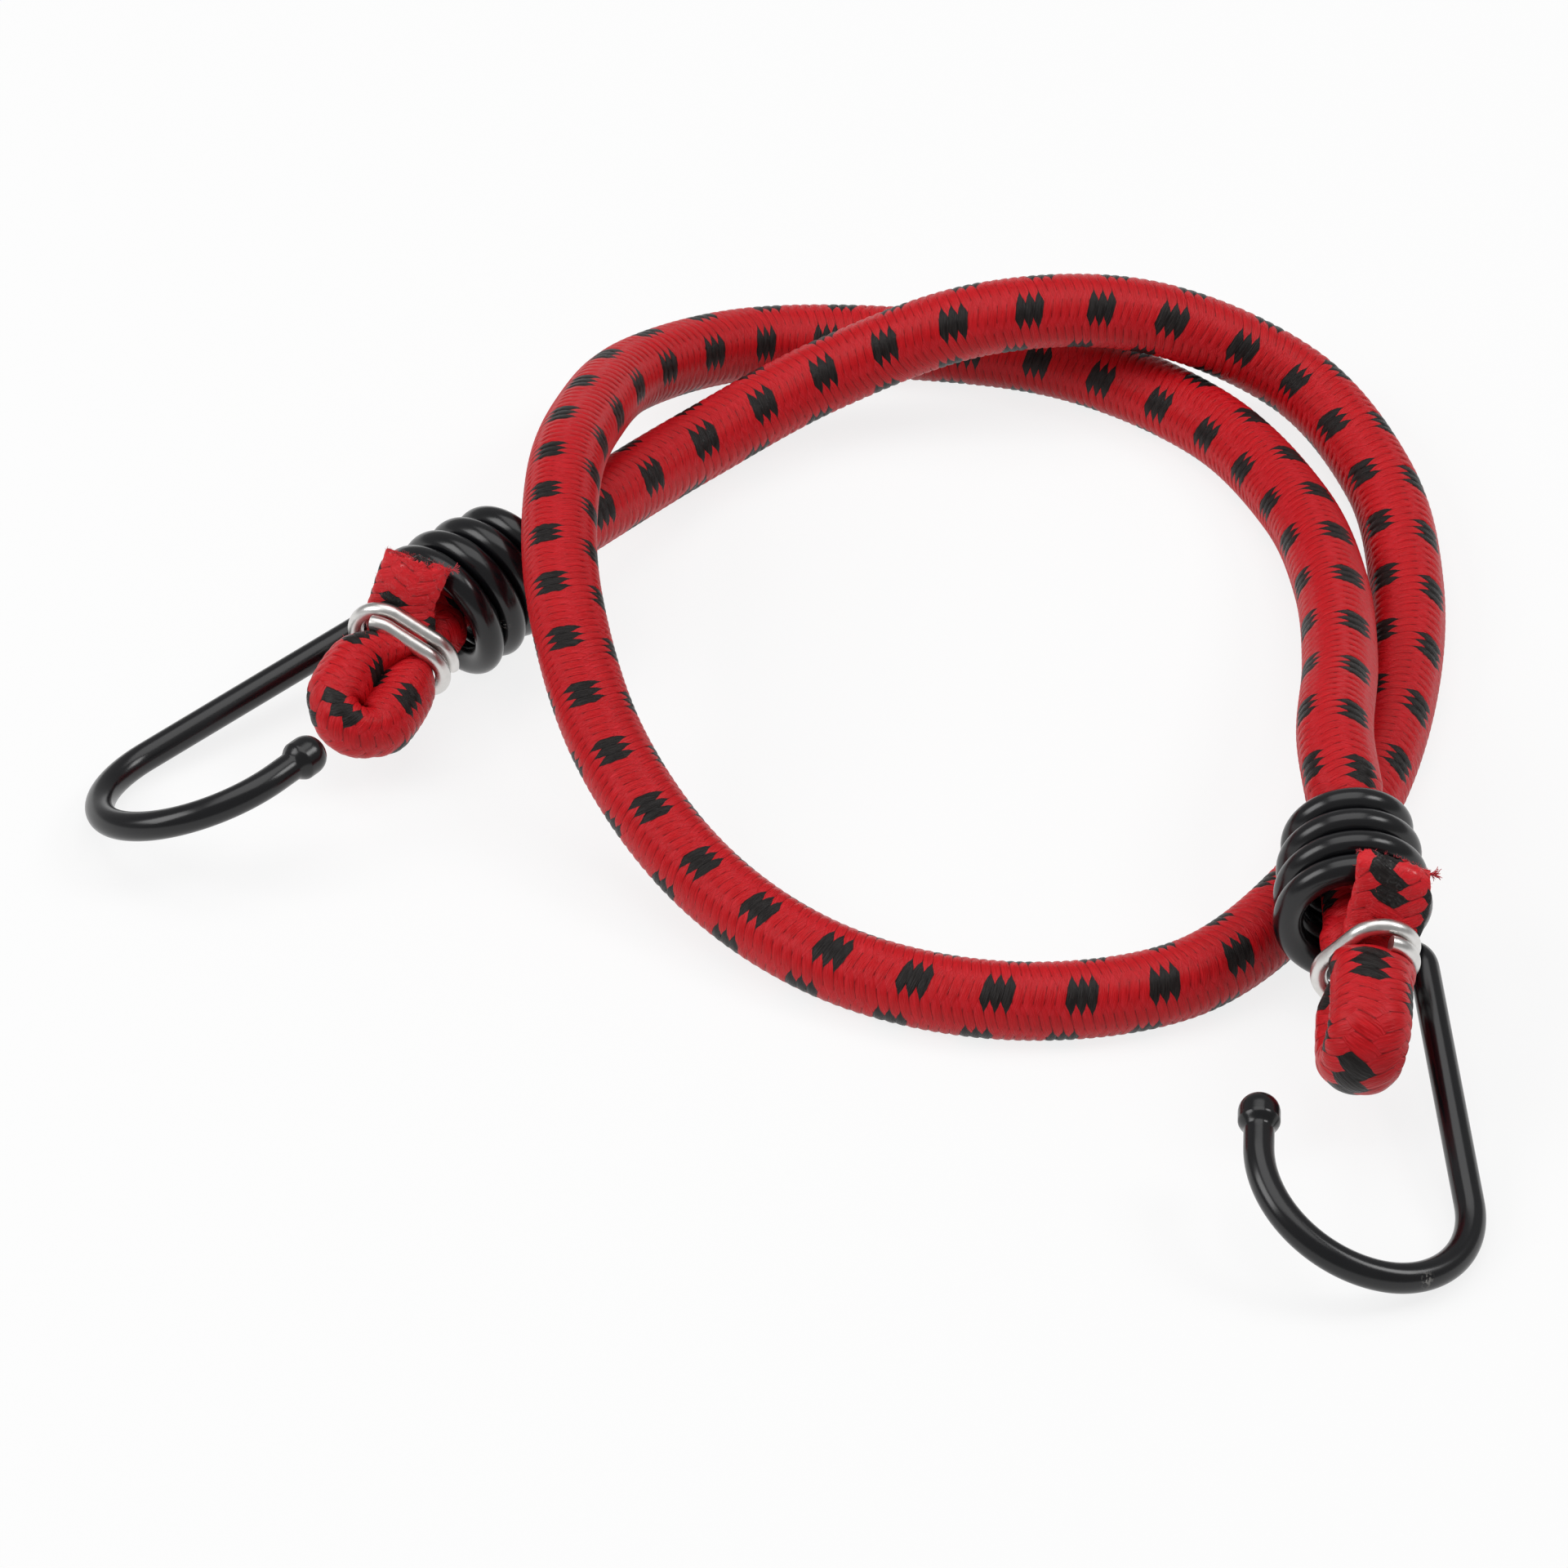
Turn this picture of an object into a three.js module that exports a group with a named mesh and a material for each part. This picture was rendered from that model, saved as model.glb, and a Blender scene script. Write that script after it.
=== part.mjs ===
// A bungee cord: braided elastic cord with a coiled wire hook at each end.
// Each end of the cord runs through its hook's coil, is folded back on itself and is held by a wire clamp.
// Millimetres, +Z up. The cord lies on z = 0, with the origin under the middle of the whole part.
import * as THREE from "three";

const { Vector3, Matrix4 } = THREE;
const radians = THREE.MathUtils.degToRad;

// Cord: a braided sheath around square rubber threads
const cordDiameter = 8;
const sheathWall = 1.1;
const ringThreads = 6;
const threadSetback = 0.4;

// Spacing and half-diagonal of the rubber threads, as shares of the sheath's bore
const threadSpacingShare = 0.56;
const threadCornerShare = 0.28;

// Depth of the flat where the soft cord lies, as a share of its diameter
const lyingFlat = 0.1;

// Diameter of the cord where it is squeezed, as a share of its free diameter
const squeezeInCoil = 0.79;
const squeezeInFold = 0.76;
const squeezeInClamp = 0.52;
const squeezeInTail = 0.58;

// Hook: steel wire in a plastic coating
const steelWire = 2.2;
const coatingFit = 0.15;
const coatingWall = 0.3;

// Coil of the hook, which narrows away from its mouth
const coilTurns = 3.9;
const coilFit = 0.35;
const coilFlare = 1.6;
const squeezePastCoil = 2.5;
const turnGap = 0.3;

// Bent part of the hook, from the coil's mouth to the tip; angles in degrees
const neckRadius = 3.2;
const shankLength = 29.7;
const shankSplay = 6.7;
const shankLean = -0.7;
const bendRadius = 10.6;
const bendAngle = 95.5;
const sweepRadius = 12.05;
const sweepAngle = 93.7;
const tipStraight = 6.5;

// Bulb at the tip: widths as shares of the coated wire, lengths along it
const bulbShare = 1.36;
const shoulderShare = 1.18;
const noseShare = 0.6;
const bulbLength = 4.4;
const bulbSwell = 0.9;
const boreBeyondWire = 1.2;
const noseLength = 1.3;
const noseTip = 0.4;

// Fold of the cord's end, measured from the coil's mouth
const clampDistance = 6.4;
const foldReach = 15.6;
const strandGap = 0.2;
const tailLift = 4.8;
const tailNearClamp = 3.4;
const tailShoulder = 3.6;
const standingNearClamp = 2.3;
const clampGrip = 2.4;
const foldShoulder = 4.6;

// Clamp: a wire ring whose ends pass each other
const clampWire = 1.7;
const clampFit = 0.4;
const clampTurns = 1.42;
const clampTurnGap = 0.45;

// Where each coil's narrow end sits, how its hook is turned and how the cord's end folds.
// Heights are in cord diameters, angles in degrees.
const ends = [
  {
    name: "1",
    narrowEnd: [-26.3, 28.9],
    height: 1.23,
    heading: -135,
    dip: 5,
    roll: -156.5,
    foldSwing: 21,
    foldToward: 154,
    foldShift: 1,
    tailTurn: -50,
    tailTwist: -40,
    tailGap: 1.9,
    clampSeam: 270,
  },
  {
    name: "2",
    narrowEnd: [59.2, -22.4],
    height: 1.71,
    heading: -90,
    dip: 9,
    roll: -20.5,
    foldSwing: 4,
    foldToward: 180,
    foldShift: 2,
    tailTurn: 73,
    tailTwist: 0,
    tailGap: 0.9,
    clampSeam: 320,
  },
];

// Route of the cord from the first coil to the second: x, y and the lift above where it lies, in cord diameters
const route = [
  [-18.5, 40, 0.6],
  [-8, 54.5, 0.25],
  [6.5, 65, 0.5],
  [23.5, 67, 1.25],
  [41.5, 68.5, 1.15],
  [58, 66, 0.3],
  [66.5, 51, 0],
  [68.5, 32.5, 0],
  [67, 14.5, 0],
  [62.5, -3.5, 0],
  [55, -20, 0],
  [42.5, -33.5, 0],
  [25, -37, 0],
  [7.5, -31.5, 0],
  [-6.5, -20, 0.25],
  [-16.5, -6, 1],
  [-21.5, 10.5, 1.85],
  [-22, 28.5, 2.05],
  [-19.5, 46.5, 1.5],
  [-14.5, 62.5, 0.75],
  [-2, 75, 0.1],
  [16, 76, 0],
  [33.5, 72, 0],
  [48.5, 61, 0],
  [57, 45, 0.1],
  [60, 27.5, 0.45],
  [60, 9.5, 0.9],
  [58.5, -8.5, 1.4],
];

// Fineness of the facets
const cordSides = 10;
const routeSteps = 2;
const bightSteps = 5;
const wireSides = 7;
const stepsPerTurn = 14;
const neckSteps = 3;
const bendSteps = 9;
const clampSides = 6;
const clampStepsPerTurn = 24;

// Values that follow from the ones above
const cordRadius = cordDiameter / 2;
const lieHeight = cordRadius - lyingFlat * cordDiameter;
const boreRadius = cordRadius - sheathWall;
const threadSpacing = threadSpacingShare * boreRadius;
const threadCorner = threadCornerShare * boreRadius;
const coatedWire = steelWire + 2 * (coatingFit + coatingWall);
const coilNarrow = squeezeInCoil * cordRadius + coilFit + coatedWire / 2;
const coilMouth = coilNarrow + coilFlare;
const coilPitch = coatedWire + turnGap;
const coilLength = coilPitch * coilTurns;
const foldHalf = squeezeInFold * cordRadius + strandGap;
const clampHalf = squeezeInClamp * cordRadius + strandGap / 2;

// Frame of one hook: z runs along the coil from its narrow end to its mouth, x points to the shank
function hookFrame(end) {
  const level = Math.cos(radians(end.dip));
  const heading = radians(end.heading);
  const axis = new Vector3(level * Math.cos(heading), level * Math.sin(heading), -Math.sin(radians(end.dip)));
  const sideways = new Vector3(0, 0, 1).cross(axis).normalize();
  const upward = axis.clone().cross(sideways);
  const toShank = sideways.multiplyScalar(Math.cos(radians(end.roll)));
  toShank.addScaledVector(upward, Math.sin(radians(end.roll)));
  const frame = new Matrix4().makeBasis(toShank, axis.clone().cross(toShank), axis);
  return frame.setPosition(end.narrowEnd[0], end.narrowEnd[1], end.height * cordDiameter);
}

// Directions of one fold in its hook's frame: along it, from the standing strand to the tail, and across both.
// Its start is at the coil's mouth, moved toward the tail.
function foldDirections(end) {
  const swing = radians(end.foldSwing);
  const toward = radians(end.foldToward);
  const turn = radians(end.tailTurn);
  const side = new Vector3(Math.cos(toward), Math.sin(toward), 0);
  const along = new Vector3(0, 0, Math.cos(swing)).addScaledVector(side, Math.sin(swing));
  const toTail = new Vector3(Math.cos(turn), Math.sin(turn), 0);
  toTail.addScaledVector(along, -toTail.dot(along)).normalize();
  const start = new Vector3(0, 0, coilLength).addScaledVector(toTail, end.foldShift);
  return { along, toTail, face: along.clone().cross(toTail), start };
}

// Points of one cord end, from the tail's cut end round the bight and through the coil, with the squeeze at each
function endPoints(end) {
  const { along, toTail, face, start } = foldDirections(end);
  const frame = hookFrame(end);
  const points = [];
  const onFold = (distance, offset, squeeze, twist = 0) => {
    const at = start.clone().addScaledVector(along, distance);
    at.addScaledVector(toTail, offset * Math.cos(radians(twist)));
    at.addScaledVector(face, offset * Math.sin(radians(twist)));
    points.push({ at: at.applyMatrix4(frame), squeeze });
  };
  onFold(end.tailGap, tailLift, squeezeInTail, end.tailTwist);
  onFold(clampDistance - tailShoulder, tailNearClamp, squeezeInTail, end.tailTwist / 4);
  onFold(clampDistance - clampGrip, clampHalf, squeezeInClamp);
  onFold(clampDistance + clampGrip, clampHalf, squeezeInClamp);
  onFold(clampDistance + foldShoulder, foldHalf, squeezeInFold);
  for (let step = 0; step <= bightSteps; step += 1) {
    const angle = (Math.PI * step) / bightSteps;
    onFold(foldReach + foldHalf * Math.sin(angle), foldHalf * Math.cos(angle), squeezeInFold);
  }
  onFold(clampDistance + foldShoulder, -foldHalf, squeezeInFold);
  onFold(clampDistance + clampGrip, -clampHalf, squeezeInClamp);
  onFold(clampDistance - clampGrip, -clampHalf, squeezeInClamp);
  onFold(clampDistance - foldShoulder, -standingNearClamp, squeezeInFold);
  for (const height of [coilLength, coilLength / 2, 0, -squeezePastCoil]) {
    points.push({ at: new Vector3(0, 0, height).applyMatrix4(frame), squeeze: squeezeInCoil });
  }
  return points;
}

// Stations along the whole cord, from one cut end to the other
function cordStations() {
  const first = endPoints(ends[0]);
  const last = endPoints(ends[1]).reverse();
  const between = route.map(([x, y, lift]) => ({
    at: new Vector3(x, y, lieHeight + lift * cordDiameter),
    squeeze: 1,
  }));
  const points = [...first, ...between, ...last];
  const curve = new THREE.CatmullRomCurve3(points.map((point) => point.at), false, "centripetal");
  const spans = points.length - 1;
  const stations = [];
  for (let span = 0; span < spans; span += 1) {
    const onRoute = span >= first.length - 1 && span < first.length + between.length;
    const steps = onRoute ? routeSteps : 1;
    for (let step = 0; step < steps; step += 1) {
      const share = step / steps;
      const squeeze = THREE.MathUtils.lerp(points[span].squeeze, points[span + 1].squeeze, share);
      stations.push({ at: curve.getPoint((span + share) / spans), squeeze });
    }
  }
  stations.push({ at: curve.getPoint(1), squeeze: points[spans].squeeze });
  return stations;
}

// Frames that follow a line of points without twisting. No line starts along their first direction across.
function framesAlong(points) {
  let across = new Vector3(0.3, 0.2, 1);
  return points.map((at, index) => {
    const before = points[Math.max(index - 1, 0)];
    const after = points[Math.min(index + 1, points.length - 1)];
    const along = after.clone().sub(before).normalize();
    across = across.clone().addScaledVector(along, -across.dot(along)).normalize();
    return { at, along, across, up: along.clone().cross(across) };
  });
}

// One regular ring of points around each frame; offset moves its middle within the section
function ringsAlong(frames, sides, radiusAt, offset = [0, 0]) {
  return frames.map((frame, index) => {
    const ring = [];
    for (let side = 0; side < sides; side += 1) {
      const angle = (2 * Math.PI * (side + 0.5)) / sides;
      const { radius, scale = 1 } = radiusAt(index);
      const point = frame.at.clone();
      point.addScaledVector(frame.across, offset[0] * scale + radius * Math.cos(angle));
      point.addScaledVector(frame.up, offset[1] * scale + radius * Math.sin(angle));
      ring.push(point);
    }
    return ring;
  });
}

// Closed body from rings of points. With bore rings it is a tube, open at its start.
// It is open at its end too where the bore is as long as the tube.
function bodyFromRings(rings, bore = null) {
  const positions = [];
  const triangles = [];
  const sides = rings[0].length;
  const addRings = (list) => {
    const first = positions.length / 3;
    list.flat().forEach((point) => positions.push(point.x, point.y, point.z));
    return (ring, side) => first + ring * sides + (side % sides);
  };
  const addWall = (index, count, inward) => {
    for (let ring = 0; ring < count - 1; ring += 1) {
      for (let side = 0; side < sides; side += 1) {
        const near = [index(ring, side), index(ring, side + 1)];
        const far = [index(ring + 1, side + 1), index(ring + 1, side)];
        const [a, b, c, d] = inward ? [...near, ...far].reverse() : [...near, ...far];
        triangles.push(a, b, c, a, c, d);
      }
    }
  };
  const addCap = (index, ring, forward) => {
    for (let side = 1; side < sides - 1; side += 1) {
      const [a, b, c] = [index(ring, 0), index(ring, side), index(ring, side + 1)];
      triangles.push(...(forward ? [a, b, c] : [a, c, b]));
    }
  };
  const addRim = (outer, outerRing, inner, innerRing, forward) => {
    for (let side = 0; side < sides; side += 1) {
      const [a, b] = [outer(outerRing, side), outer(outerRing, side + 1)];
      const [c, d] = [inner(innerRing, side + 1), inner(innerRing, side)];
      triangles.push(...(forward ? [a, b, c, a, c, d] : [a, c, b, a, d, c]));
    }
  };
  const outer = addRings(rings);
  const lastRing = rings.length - 1;
  addWall(outer, rings.length, false);
  if (bore === null) {
    addCap(outer, 0, false);
    addCap(outer, lastRing, true);
  } else {
    const inner = addRings(bore);
    addWall(inner, bore.length, true);
    addRim(outer, 0, inner, 0, false);
    if (bore.length === rings.length) {
      addRim(outer, lastRing, inner, bore.length - 1, true);
    } else {
      addCap(inner, bore.length - 1, false);
      addCap(outer, lastRing, true);
    }
  }
  const geometry = new THREE.BufferGeometry();
  geometry.setAttribute("position", new THREE.Float32BufferAttribute(positions, 3));
  geometry.setIndex(triangles);
  geometry.computeVertexNormals();
  return geometry;
}

// Middle line of one hook in its own frame: coil, neck, shank, tight bend, open sweep and tip.
// The coil widens quickly at its narrow end and hardly at its mouth.
function hookLine() {
  const points = [];
  const endAngle = -Math.atan2(neckRadius, coilMouth);
  const coilSteps = Math.round(coilTurns * stepsPerTurn);
  for (let step = 0; step <= coilSteps; step += 1) {
    const share = step / coilSteps;
    const radius = coilMouth - coilFlare * (1 - share) ** 2;
    const angle = endAngle - 2 * Math.PI * coilTurns * (1 - share);
    points.push(new Vector3(radius * Math.cos(angle), radius * Math.sin(angle), coilLength * share));
  }

  const splay = Math.sin(radians(shankSplay));
  const lean = Math.sin(radians(shankLean));
  const shank = new Vector3(splay, lean, Math.sqrt(1 - splay * splay - lean * lean));
  const inward = new Vector3(-1, 0, 0);
  inward.addScaledVector(shank, -inward.dot(shank)).normalize();

  // Arc from one heading to the side of another, starting at the line's last point
  const addArc = (forward, toward, radius, angle, steps) => {
    const start = points[points.length - 1];
    for (let step = 1; step <= steps; step += 1) {
      const turned = (angle * step) / steps;
      const at = start.clone().addScaledVector(forward, radius * Math.sin(turned));
      points.push(at.addScaledVector(toward, radius * (1 - Math.cos(turned))));
    }
  };
  const addStraight = (forward, length) => {
    points.push(points[points.length - 1].clone().addScaledVector(forward, length));
  };
  const turnedTo = (angle) => shank.clone().multiplyScalar(Math.cos(angle)).addScaledVector(inward, Math.sin(angle));

  const coilEnd = new Vector3(-Math.sin(endAngle), Math.cos(endAngle), 0);
  const neckSide = shank.clone().addScaledVector(coilEnd, -shank.dot(coilEnd)).normalize();
  addArc(coilEnd, neckSide, neckRadius, coilEnd.angleTo(shank), neckSteps);
  addStraight(shank, shankLength / 2);
  addStraight(shank, shankLength / 2);
  addArc(shank, inward, bendRadius, radians(bendAngle), bendSteps);
  const sweepStart = turnedTo(radians(bendAngle));
  const sweepSide = turnedTo(radians(bendAngle + 90));
  addArc(sweepStart, sweepSide, sweepRadius, radians(sweepAngle), bendSteps);
  const tip = turnedTo(radians(bendAngle + sweepAngle));
  const straightParts = [
    tipStraight - bulbLength,
    bulbSwell,
    boreBeyondWire,
    bulbLength - bulbSwell - boreBeyondWire - noseLength,
    noseLength - noseTip,
    noseTip,
  ];
  straightParts.forEach((length) => addStraight(tip, length));
  return points;
}

// Widths at the hook's last stations, where the coating swells into the bulb and closes over the nose
const bulbProfile = [1, bulbShare, bulbShare, bulbShare, shoulderShare, noseShare];
const stationsPastBore = 3;

// Least gap between the turns of a wound wire, measured between points of its middle line
function leastGap(points, wire, stepsInTurn) {
  let least = Infinity;
  for (let one = 0; one < points.length; one += 1) {
    for (let other = one + Math.round(stepsInTurn / 2); other < points.length; other += 1) {
      least = Math.min(least, points[one].distanceTo(points[other]) - wire);
    }
  }
  return least;
}

// Middle line of one clamp in its hook's frame: a flattened ring around both strands, with overlapping ends
function clampLine(end) {
  const { along, toTail, face, start } = foldDirections(end);
  const bend = squeezeInClamp * cordRadius + clampFit + clampWire / 2;
  const steps = Math.round(clampTurns * clampStepsPerTurn);
  const points = [];
  for (let step = 0; step <= steps; step += 1) {
    const turn = (step - steps / 2 + 0.5) / clampStepsPerTurn;
    const angle = radians(end.clampSeam + 180) + 2 * Math.PI * turn;
    const middle = Math.sign(Math.cos(angle)) * clampHalf;
    const at = start.clone().addScaledVector(along, clampDistance + (clampWire + clampTurnGap) * turn);
    at.addScaledVector(toTail, middle + bend * Math.cos(angle));
    points.push(at.addScaledVector(face, bend * Math.sin(angle)));
  }
  return points;
}

// Looks
const braid = new THREE.MeshStandardMaterial({ color: 0xa8202a, roughness: 0.7, metalness: 0 });
const rubber = new THREE.MeshStandardMaterial({ color: 0xd8c8a4, roughness: 0.8, metalness: 0 });
const coated = new THREE.MeshStandardMaterial({ color: 0x101012, roughness: 0.3, metalness: 0 });
const steel = new THREE.MeshStandardMaterial({ color: 0x8a8c90, roughness: 0.4, metalness: 1 });
const zinc = new THREE.MeshStandardMaterial({ color: 0xb9bcc0, roughness: 0.35, metalness: 1 });

const bungee = new THREE.Group();
bungee.name = "bungee_cord";
function addPiece(name, geometry, material, frame = null) {
  if (frame !== null) {
    geometry.applyMatrix4(frame);
  }
  const mesh = new THREE.Mesh(geometry, material);
  mesh.name = name;
  bungee.add(mesh);
}

// Sheath, flat where it lies on the floor
const stations = cordStations();
const cordFrames = framesAlong(stations.map((station) => station.at));
const sheathRings = ringsAlong(cordFrames, cordSides, (index) => ({ radius: cordRadius * stations[index].squeeze }));
sheathRings.flat().forEach((point) => point.setZ(Math.max(point.z, 0)));
const sheathBore = ringsAlong(cordFrames, cordSides, (index) => ({ radius: boreRadius * stations[index].squeeze }));
addPiece("braided_sheath", bodyFromRings(sheathRings, sheathBore), braid);

// Rubber threads, one in the middle and the rest around it, set back from the sheath's cut ends
const threadFrames = cordFrames.map((frame) => ({ ...frame, at: frame.at.clone() }));
threadFrames[0].at.addScaledVector(threadFrames[0].along, threadSetback);
threadFrames.at(-1).at.addScaledVector(threadFrames.at(-1).along, -threadSetback);
for (let thread = 0; thread <= ringThreads; thread += 1) {
  const angle = (2 * Math.PI * thread) / ringThreads;
  const offset = thread === 0 ? [0, 0] : [threadSpacing * Math.cos(angle), threadSpacing * Math.sin(angle)];
  const size = (index) => ({ radius: threadCorner * stations[index].squeeze, scale: stations[index].squeeze });
  addPiece(`rubber_thread_${thread + 1}`, bodyFromRings(ringsAlong(threadFrames, 4, size, offset)), rubber);
}

// Hooks: coating with the steel wire inside, open at the coil's cut end and closed at the tip
const hookPoints = hookLine();
const hookFrames = framesAlong(hookPoints);
const plainStations = hookPoints.length - bulbProfile.length;
const boredStations = hookPoints.length - stationsPastBore;
const coatingRings = ringsAlong(hookFrames, wireSides, (index) => {
  const share = index < plainStations ? 1 : bulbProfile[index - plainStations];
  return { radius: (share * coatedWire) / 2 };
});
const coatingBore = ringsAlong(hookFrames.slice(0, boredStations), wireSides, () => ({
  radius: steelWire / 2 + coatingFit,
}));
const wireFrames = hookFrames.slice(0, boredStations - 1);
const wireRings = ringsAlong(wireFrames, wireSides, () => ({ radius: steelWire / 2 }));
const coilPoints = hookPoints.slice(0, Math.round(coilTurns * stepsPerTurn) + 1);
console.log(`coil: least gap between turns ${leastGap(coilPoints, coatedWire, stepsPerTurn).toFixed(2)} mm`);
for (const end of ends) {
  const frame = hookFrame(end);
  addPiece(`hook_${end.name}_coating`, bodyFromRings(coatingRings, coatingBore), coated, frame);
  addPiece(`hook_${end.name}_wire`, bodyFromRings(wireRings), steel, frame);
  const clampPoints = clampLine(end);
  const clampRings = ringsAlong(framesAlong(clampPoints), clampSides, () => ({ radius: clampWire / 2 }));
  addPiece(`clamp_${end.name}`, bodyFromRings(clampRings), zinc, frame);
  const gap = leastGap(clampPoints, clampWire, clampStepsPerTurn).toFixed(2);
  console.log(`clamp ${end.name}: least gap between turns ${gap} mm`);
}

const stationPoints = stations.map((station) => station.at);
const cordLength = stationPoints.slice(1).reduce((sum, at, index) => sum + at.distanceTo(stationPoints[index]), 0);
console.log(`cord: ${cordLength.toFixed(0)} mm from cut end to cut end`);

export default bungee;
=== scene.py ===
"""A bungee cord lying in a loose loop: braided elastic with a coiled hook and a wire clamp at each end."""

import math

import bpy
import numpy as np
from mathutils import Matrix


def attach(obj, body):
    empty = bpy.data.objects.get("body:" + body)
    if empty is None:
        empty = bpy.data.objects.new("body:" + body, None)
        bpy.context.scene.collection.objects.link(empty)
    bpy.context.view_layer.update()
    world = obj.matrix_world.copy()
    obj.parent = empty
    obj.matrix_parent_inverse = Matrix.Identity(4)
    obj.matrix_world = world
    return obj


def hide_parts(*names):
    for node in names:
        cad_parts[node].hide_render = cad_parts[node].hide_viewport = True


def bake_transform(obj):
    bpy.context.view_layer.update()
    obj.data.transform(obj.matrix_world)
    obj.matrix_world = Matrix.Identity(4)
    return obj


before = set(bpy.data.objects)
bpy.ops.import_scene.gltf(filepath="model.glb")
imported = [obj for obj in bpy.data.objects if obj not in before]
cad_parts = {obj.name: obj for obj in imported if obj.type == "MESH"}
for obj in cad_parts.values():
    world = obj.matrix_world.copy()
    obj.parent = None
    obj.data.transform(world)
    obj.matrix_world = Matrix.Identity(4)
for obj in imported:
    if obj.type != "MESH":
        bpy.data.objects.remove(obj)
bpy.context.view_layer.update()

# Camera of the photo, in metres
camera_place = (0.0015, -0.7332, 0.5953)
camera_aim = (0.0015, 0.0020, 0.0)
camera_lens = 206.25
camera_sensor = 36.0
camera_reach = 10

# Cord: how flat it lies and how narrow it is where it is squeezed, as shares of its diameter, how soon it is
# full again past the coil, as a share of the way to the route's next point, and the threads of its CAD core
cord_diameter = 0.008
lying_flat = 0.1
squeeze_in_coil = 0.79
squeeze_in_clamp = 0.52
swell_share = 0.3
core_threads = 7

# Sections of the soft cord where it is pressed: its thickness as a share of its diameter,
# and how many thicknesses wider than thick it is
tail_section = (0.24, 3.8)
tail_root_section = (0.31, 2.7)
clamped_tail_section = (0.36, 1.6)
clamped_cord_section = (0.42, 0.7)
mouth_section = (0.76, 0.14)

# Hook: coated wire, its coil and its bends
coated_wire = 0.0031
coating_bore = 0.00125
coil_turns = 3.9
coil_fit = 0.00035
coil_flare = 0.0016
squeeze_past_coil = 0.0025
turn_gap = 0.0003
neck_radius = 0.0032
shank_length = 0.0297
shank_splay = 6.7
shank_lean = -0.7
bend_radius = 0.0106
bend_angle = 95.5
sweep_radius = 0.01205
sweep_angle = 93.7
tip_straight = 0.0065

# Bulb at the hook's tip: its width in wires, its length, and the shares of that where it is full
# and where its nose starts
bulb_share = 1.38
bulb_length = 0.0044
bulb_full = 0.3
bulb_nose = 0.5
bulb_nose_power = 2.4

# Cut end of the coil: how far the coating's rim is rounded, and the coil's steps that its bore is drawn at
rim_round = 0.00012
bore_steps = (8, 4, 0)

# Scuffs of the coating: place and reach, and how strong they are in their middle
scuff_strength = 0.85
scuffs = (((-0.0281, 0.0172, 0.0095), 0.0008), ((0.0644, -0.0788, 0.0029), 0.0011))

# Fold of the cord's end, from the coil's mouth
clamp_distance = 0.0064
strand_gap = 0.0002
standing_near_clamp = 0.0023
fold_shoulder = 0.0046

# Clamp wire, with the share of its width that its cut faces keep
clamp_wire = 0.0017
clamp_fit = 0.0004
clamp_turns = 1.31
clamp_turn_gap = 0.00045
clamp_cut_share = 0.93

# Place and turn of each hook and fold: heights in cord diameters, angles in degrees.
# The tail's points run from its cut end to the clamp. Each has its distance along the fold, its lift from it,
# the turn of that lift around it, and the turn that the tail's broad side looks to.
# In the clamp only the lift and these two turns are given.
# A tuft of loose fibres, counted, leans out of one corner of each tail.
ends = (
    {
        "name": "1",
        "narrow_end": (-0.0263, 0.0289),
        "height": 1.23,
        "heading": -135,
        "dip": 5,
        "roll": -156.5,
        "fold_swing": 21,
        "fold_toward": 154,
        "fold_shift": 0.001,
        "tail_turn": -50,
        "tail": ((0.0016, 0.0089, -67, -62), (0.0030, 0.0064, -62, -60), (0.0038, 0.0038, -51, -56)),
        "tail_root": (0.0049, 0.0018, -45, -54),
        "tail_in_clamp": (0.0015, -51, -62),
        "cord_in_clamp": (0.0018, -30, -30),
        "tuft": (10, (0.9, -0.3, 0.3)),
        "bight_half": 0.0028,
        "bight_reach": 0.0164,
        "nose_section": (0.62, 0.30),
        "bight_section": (0.82, 0.10),
        "bight_twist": 0,
        "clamp_seam": 245,
    },
    {
        "name": "2",
        "narrow_end": (0.0592, -0.0224),
        "height": 1.71,
        "heading": -90,
        "dip": 9,
        "roll": -20.5,
        "fold_swing": 4,
        "fold_toward": 180,
        "fold_shift": 0.002,
        "tail_turn": 73,
        "tail": ((0.0001, 0.0087, 22, 17), (0.0012, 0.0086, 22, 20), (0.0023, 0.0066, 17, 30)),
        "tail_root": (0.0038, 0.0037, 11, 41),
        "tail_in_clamp": (0.0018, 10, 30),
        "cord_in_clamp": (0.0016, 25, 25),
        "tuft": (36, (0.95, 0.0, -0.3)),
        "bight_half": 0.0031,
        "bight_reach": 0.0156,
        "nose_section": (0.80, 0.32),
        "bight_section": (0.80, 0.32),
        "bight_twist": 26,
        "clamp_seam": 321,
    },
)

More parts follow.
